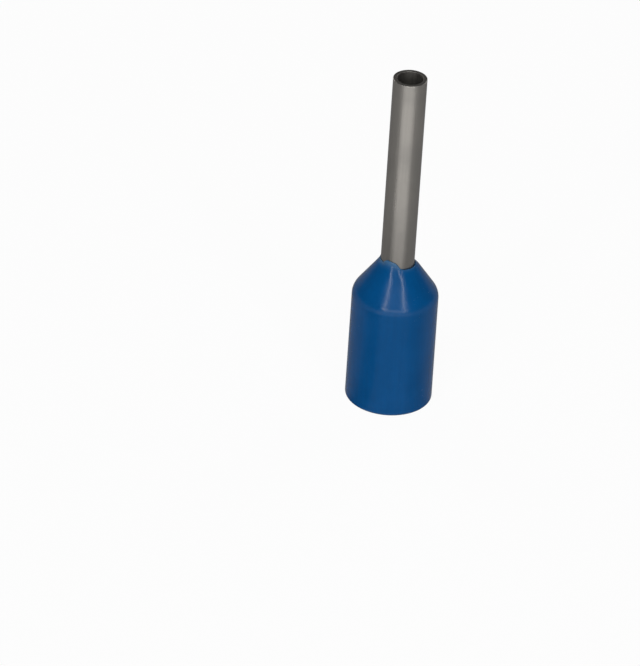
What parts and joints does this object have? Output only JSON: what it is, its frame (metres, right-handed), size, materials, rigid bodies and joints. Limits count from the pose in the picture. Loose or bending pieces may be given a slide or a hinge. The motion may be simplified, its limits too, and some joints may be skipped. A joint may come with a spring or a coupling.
{
  "type": "insulated wire ferrule",
  "caption": "Wire-end ferrule: a tinned copper sleeve crimped on to stripped strands, in a blue plastic collar that takes the wire's insulation.",
  "frame": {"origin": "centre of the collar's mouth, in the plane of the rim that the ferrule stands on", "axes": "+Z along the axis from the mouth towards the sleeve's tip; X and Y are free, because the part is a body of revolution"},
  "size_m": [0.0034, 0.0034, 0.014],
  "materials": {
    "collar_plastic": "moulded polypropylene, blue, satin gloss",
    "tinned_copper": "tin plate over drawn copper, satin, with fine lines along the tube"
  },
  "bodies": {
    "root": {"collar": "collar_plastic", "sleeve": "tinned_copper"}
  },
  "joints": []
}
